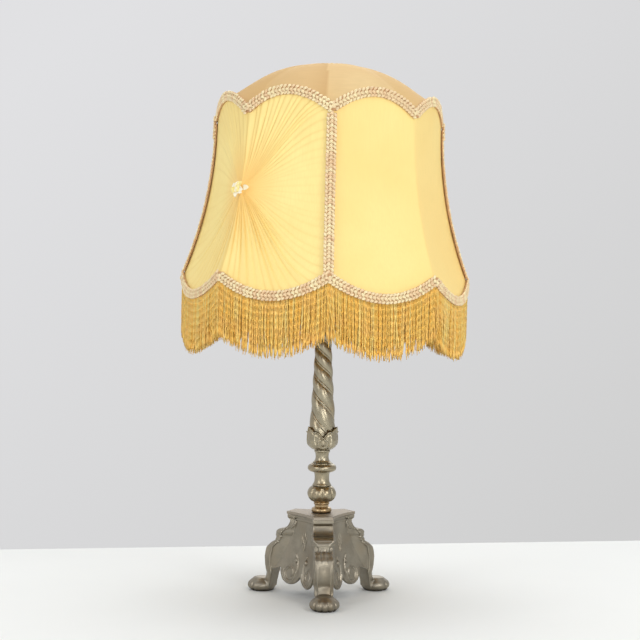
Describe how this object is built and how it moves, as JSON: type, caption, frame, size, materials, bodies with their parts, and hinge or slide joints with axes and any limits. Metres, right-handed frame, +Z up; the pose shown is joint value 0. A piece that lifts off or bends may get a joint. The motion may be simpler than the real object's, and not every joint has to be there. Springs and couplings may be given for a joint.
{
  "type": "candlestick lamp",
  "caption": "Table lamp with a tripod base on paw feet, a turned and twisted stem, and a domed, ribbed silk shade with braid and a long cord fringe.",
  "frame": {"origin": "on the stem's axis, at the level of the feet", "axes": "+Z up along the stem; the front leg points to -Y, turned 3.3 degrees towards +X"},
  "size_m": [0.3809, 0.3808, 0.6988],
  "materials": {
    "bronze_casting": "aged bronze casting, satin with worn edges",
    "nickelled_stem": "worn nickel over brass, satin",
    "brass_fittings": "warm polished brass",
    "plated_steel": "zinc-plated steel",
    "holder_brass": "lacquered brass",
    "porcelain": "glazed porcelain",
    "dark_plastic": "dark moulded plastic",
    "bulb_glass": "clear blown glass",
    "frame_wire": "cream painted wire",
    "side_silk": "yellow silk with a soft sheen",
    "crown_silk": "tan-gold silk with a soft sheen",
    "gimp_braid": "woven cream and brown gimp braid",
    "silk_fringe": "golden twisted rayon cord fringe",
    "ribbon": "cream ribbon"
  },
  "bodies": {
    "stand": {"base_collar": "brass_fittings", "base_top_plate": "bronze_casting", "bulb_cap": "plated_steel", "bulb_contact": "brass_fittings", "bulb_glass": "bulb_glass", "candle_pan": "nickelled_stem", "centre_contact": "brass_fittings", "cord_bush": "brass_fittings", "filament_mount": "bulb_glass", "gadrooned_knop": "nickelled_stem", "holder_barrel": "holder_brass", "holder_cap": "holder_brass", "leaf_cup": "nickelled_stem", "leg_front": "bronze_casting", "leg_left": "bronze_casting", "leg_right": "bronze_casting", "lower_neck": "nickelled_stem", "lower_shade_ring": "holder_brass", "porcelain_core": "porcelain", "ring_knop": "nickelled_stem", "rod_nut": "plated_steel", "rod_washer": "plated_steel", "screw_shell": "brass_fittings", "side_panel_left": "bronze_casting", "side_panel_rear": "bronze_casting", "side_panel_right": "bronze_casting", "stem_rod": "plated_steel", "terminal_posts": "brass_fittings", "threaded_sleeve": "holder_brass", "twisted_column": "nickelled_stem", "upper_neck": "nickelled_stem", "upper_shade_ring": "holder_brass"},
    "key": {"switch_key": "dark_plastic"},
    "carrier": {"shade_carrier": "plated_steel"},
    "shade": {"cover_front_left": "side_silk", "cover_front_right": "side_silk", "cover_rear_left": "side_silk", "cover_rear_right": "side_silk", "crown_button": "crown_silk", "crown_cover": "crown_silk", "crown_ring": "frame_wire", "dome_wires": "frame_wire", "fringe_skirt": "silk_fringe", "head_braid": "gimp_braid", "head_ring": "frame_wire", "hem_braid": "gimp_braid", "hem_ring": "frame_wire", "rib_braids": "gimp_braid", "rib_wires": "frame_wire", "rosette_front": "ribbon", "rosette_rear": "ribbon", "seat_ring": "frame_wire"}
  },
  "joints": [
    {"name": "carrier_turn", "type": "hinge", "parent": "stand", "child": "carrier", "pos_m": [0, 0, 0.4669], "axis": [0, 0, 1], "continuous": true},
    {"name": "shade_lift", "type": "slide", "parent": "carrier", "child": "shade", "axis": [0, 0, 1], "range_m": [0, 0.3]},
    {"name": "switch_turn", "type": "hinge", "parent": "stand", "child": "key", "pos_m": [0.03, 0, 0.43], "axis": [1, 0, 0], "continuous": true}
  ]
}
